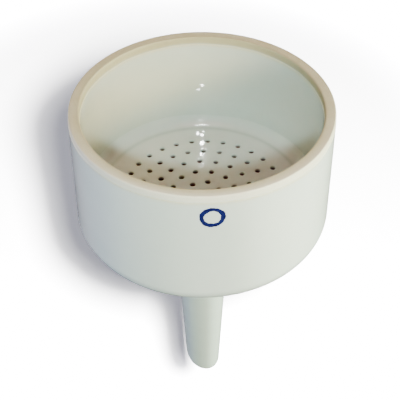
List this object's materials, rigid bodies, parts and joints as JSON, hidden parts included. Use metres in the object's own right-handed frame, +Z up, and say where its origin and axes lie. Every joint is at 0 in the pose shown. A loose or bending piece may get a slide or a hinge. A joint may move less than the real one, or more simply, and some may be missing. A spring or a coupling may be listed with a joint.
{
  "type": "buchner funnel",
  "caption": "Glazed porcelain Buchner funnel: a straight round cup with an unglazed rim, a fixed perforated plate, a shallow bowl and a tapered drain stem with a slanted tip.",
  "frame": {"origin": "on the funnel's axis, at the top of the tapered stem, where the stem leaves its collar", "axes": "+Z up along the axis towards the rim, -Y towards the front with the blue mark, +X to the right; the slanted tip is longest at the front right, 50 degrees from +X"},
  "size_m": [0.12, 0.1201, 0.176],
  "materials": {
    "glazed_porcelain": "gloss",
    "bare_porcelain": "matte",
    "blue_print": "gloss"
  },
  "bodies": {
    "root": {"bare_rim": "bare_porcelain", "cup_wall": "glazed_porcelain", "plate_ledge": "glazed_porcelain", "perforated_plate": "glazed_porcelain", "bowl": "glazed_porcelain", "stem_collar": "glazed_porcelain", "stem": "glazed_porcelain", "blue_mark": "blue_print"}
  },
  "joints": []
}
